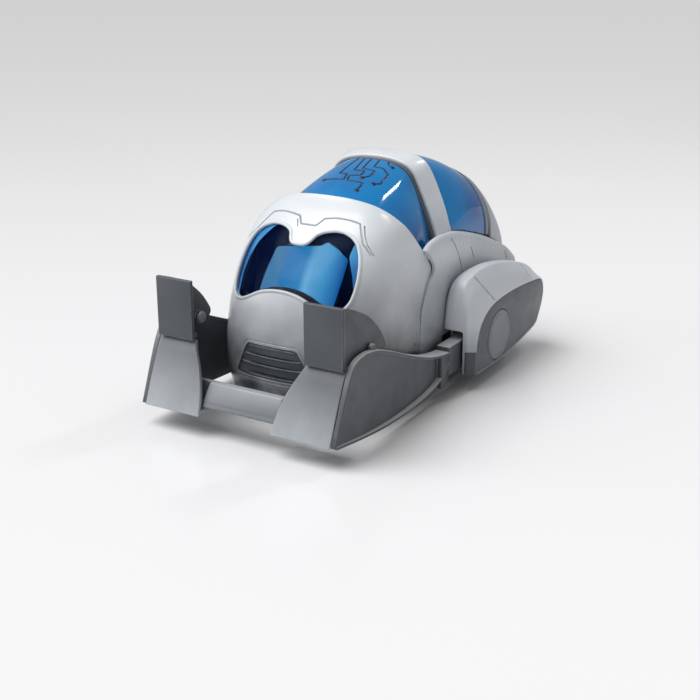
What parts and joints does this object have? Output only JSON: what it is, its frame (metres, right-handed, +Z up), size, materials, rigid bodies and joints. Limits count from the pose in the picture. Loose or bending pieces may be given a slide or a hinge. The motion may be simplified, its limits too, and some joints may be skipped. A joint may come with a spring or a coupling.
{
  "type": "loader robot",
  "caption": "Domed toy robot on two driven wheels with a wide visor, two side pods and a pair of lifting scoop arms joined by a beam, each scoop closed by a hinged jaw.",
  "frame": {"origin": "centre of the overall footprint, on the floor the wheels stand on", "axes": "-Y is the front, towards the scoops; +X is the robot's left side; +Z is up"},
  "size_m": [0.13, 0.2144, 0.118],
  "materials": {
    "white": "satin gloss moulded plastic",
    "dark": "satin dark grey plastic",
    "mid": "satin mid grey plastic",
    "cap": "satin grey plastic",
    "blue": "clear tinted blue plastic",
    "screen": "lit light blue panel",
    "gasket": "soft grey rubber",
    "black": "fine texture black plastic",
    "rubber": "ribbed black rubber",
    "steel": "bright steel",
    "brass": "turned brass",
    "pcb": "coated circuit board",
    "cell": "plain printed sleeve",
    "gearc": "natural acetal"
  },
  "bodies": {
    "chassis": {"head_shell": "white", "visor_lens": "blue", "face_screen": "screen", "led_board": "pcb", "grille_insert": "dark", "canopy_front": "blue", "canopy_rear": "blue", "fender_left": "white", "fender_right": "white", "arch_bar": "white", "arch_gasket": "gasket", "rear_gasket": "gasket", "rear_shell": "white", "pod_shell_left": "white", "pod_shell_right": "white", "pod_panel_left": "dark", "pod_panel_right": "dark", "pivot_cap_left": "cap", "pivot_cap_right": "cap", "chassis_tray": "black", "battery_door": "black", "door_screw": "steel", "aa_cell_1": "cell", "aa_cell_2": "cell", "aa_cell_3": "cell", "aa_cell_4": "cell", "contact_front": "steel", "contact_rear": "steel", "main_board": "pcb", "speaker": "black", "drive_motor_left": "steel", "drive_motor_right": "steel", "motor_clamp": "black", "lift_motor": "steel", "switch_body": "black"},
    "lift_frame": {"lift_shaft": "steel", "lift_gear": "gearc", "arm_link_left": "dark", "arm_link_right": "dark", "forearm_left": "dark", "forearm_right": "dark", "scoop_left": "mid", "scoop_right": "mid", "cross_beam": "mid", "jaw_cap_left": "mid", "jaw_cap_right": "mid"},
    "jaw_l": {"jaw_left": "dark"},
    "jaw_r": {"jaw_right": "dark"},
    "wheel_l": {"wheel_hub_left": "mid", "tyre_left": "rubber", "drive_shaft_left": "steel"},
    "wheel_r": {"wheel_hub_right": "mid", "tyre_right": "rubber", "drive_shaft_right": "steel"},
    "roller": {"front_roller": "mid"},
    "switch": {"switch_knob": "mid"},
    "pinion": {"lift_pinion": "brass"}
  },
  "joints": [
    {"name": "lift_hinge", "type": "hinge", "parent": "chassis", "child": "lift_frame", "pos_m": [0, 0.0416, 0.0237], "axis": [-1, 0, 0], "range_deg": [-3, 7]},
    {"name": "jaw_left_hinge", "type": "hinge", "parent": "lift_frame", "child": "jaw_l", "pos_m": [0.05, -0.0695, 0.0452], "axis": [-1, 0, 0], "range_deg": [0, 50]},
    {"name": "jaw_right_hinge", "type": "hinge", "parent": "lift_frame", "child": "jaw_r", "pos_m": [-0.05, -0.0695, 0.0452], "axis": [-1, 0, 0], "range_deg": [0, 50]},
    {"name": "wheel_left_spin", "type": "hinge", "parent": "chassis", "child": "wheel_l", "pos_m": [0.031, 0.064, 0.018], "axis": [1, 0, 0], "continuous": true},
    {"name": "wheel_right_spin", "type": "hinge", "parent": "chassis", "child": "wheel_r", "pos_m": [-0.031, 0.064, 0.018], "axis": [1, 0, 0], "continuous": true},
    {"name": "roller_spin", "type": "hinge", "parent": "chassis", "child": "roller", "pos_m": [0, -0.046, 0.0095], "axis": [1, 0, 0], "continuous": true},
    {"name": "switch_slide", "type": "slide", "parent": "chassis", "child": "switch", "axis": [1, 0, 0], "range_m": [-0.0015, 0.0015]},
    {"name": "pinion_spin", "type": "hinge", "parent": "chassis", "child": "pinion", "pos_m": [0.003, 0.0416, 0.03985], "axis": [-1, 0, 0], "range_deg": [-16, 7]}
  ],
  "couplings": [
    {"joint": "pinion_spin", "follows": "lift_hinge", "ratio": -2.2}
  ]
}
